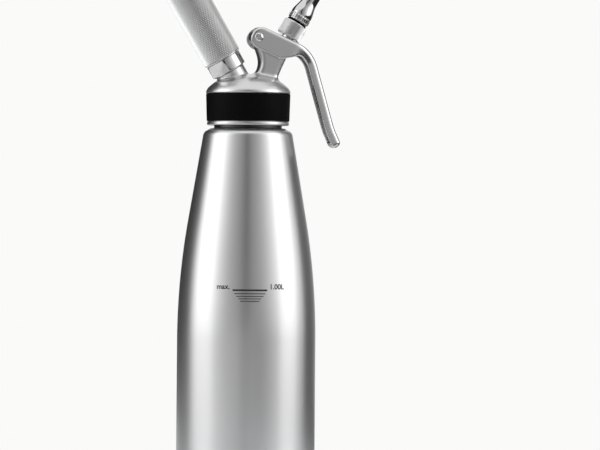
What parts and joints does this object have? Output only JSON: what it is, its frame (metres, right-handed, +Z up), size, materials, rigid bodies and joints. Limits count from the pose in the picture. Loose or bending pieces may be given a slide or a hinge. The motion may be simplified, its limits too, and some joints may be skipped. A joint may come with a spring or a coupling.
{
  "type": "whipped cream dispenser",
  "caption": "Steel bottle with a screwed cast head that carries a slanted gas charger holder, a squeezed U-channel lever, a spring valve and a slanted nozzle.",
  "frame": {"origin": "centre of the bottle's flat base", "axes": "+Z up along the bottle's axis, +X towards the lever and the nozzle, the charger holder leans towards -X, and the cross-head screw of the lever faces -Y"},
  "size_m": [0.1317, 0.098, 0.3768],
  "materials": {
    "satin_steel": "satin, turned",
    "polished_steel": "polished",
    "spring_steel": "drawn wire",
    "brass": "turned",
    "black_silicone": "matt black silicone",
    "clear_silicone": "pale silicone"
  },
  "bodies": {
    "bottle": {"bottle": "satin_steel"},
    "head_lift": {"head_gasket": "clear_silicone"},
    "head": {"head": "polished_steel", "grip_band": "black_silicone", "pin_holder": "brass", "piercing_pin": "polished_steel", "pin_seal": "clear_silicone", "inlet_filter": "brass", "check_valve": "clear_silicone", "valve_spring": "spring_steel", "stem_oring": "black_silicone", "valve_bush": "brass"},
    "charger": {"gas_charger": "satin_steel"},
    "holder": {"holder_body": "polished_steel", "holder_grip": "satin_steel", "holder_cushion": "black_silicone"},
    "lever": {"lever": "polished_steel", "pivot_sleeve": "polished_steel", "pivot_screw": "polished_steel"},
    "valve": {"valve_stem": "polished_steel", "stem_seal": "clear_silicone", "lever_collar": "polished_steel", "nozzle_adapter": "satin_steel"},
    "nozzle_lift": {"nozzle_seal": "black_silicone"},
    "nozzle": {"nozzle": "polished_steel"}
  },
  "joints": [
    {"name": "head_rise", "type": "slide", "parent": "bottle", "child": "head_lift", "axis": [0, 0, 1], "range_m": [0, 0.01]},
    {"name": "head_turn", "type": "hinge", "parent": "head_lift", "child": "head", "pos_m": [0, 0, 0.26], "axis": [0, 0, 1], "range_deg": [0, 910]},
    {"name": "charger_rise", "type": "slide", "parent": "head", "child": "charger", "axis": [-0.506, 0, 0.8625], "range_m": [0, 0.008]},
    {"name": "holder_turn", "type": "hinge", "parent": "charger", "child": "holder", "pos_m": [0, 0, 0.2726], "axis": [-0.506, 0, 0.8625], "range_deg": [0, 1450]},
    {"name": "lever_squeeze", "type": "hinge", "parent": "head", "child": "lever", "pos_m": [0.0056, 0, 0.3196], "axis": [0, 1, 0], "range_deg": [0, 9]},
    {"name": "valve_press", "type": "slide", "parent": "head", "child": "valve", "axis": [-0.521, 0, -0.8536], "range_m": [0, 0.0028], "stiffness_N_per_m": 2000, "springref_m": -0.004, "deforming": ["valve_spring"]},
    {"name": "nozzle_rise", "type": "slide", "parent": "valve", "child": "nozzle_lift", "axis": [0.521, 0, 0.8536], "range_m": [0, 0.005]},
    {"name": "nozzle_turn", "type": "hinge", "parent": "nozzle_lift", "child": "nozzle", "pos_m": [0, 0, 0.2742], "axis": [0.521, 0, 0.8536], "range_deg": [0, 1450]}
  ],
  "couplings": [
    {"joint": "head_turn", "follows": "head_rise", "rad_per_m": 1570.8},
    {"joint": "holder_turn", "follows": "charger_rise", "rad_per_m": 3141.6},
    {"joint": "lever_squeeze", "follows": "valve_press", "rad_per_m": 54.05},
    {"joint": "nozzle_turn", "follows": "nozzle_rise", "rad_per_m": 5026.5}
  ]
}
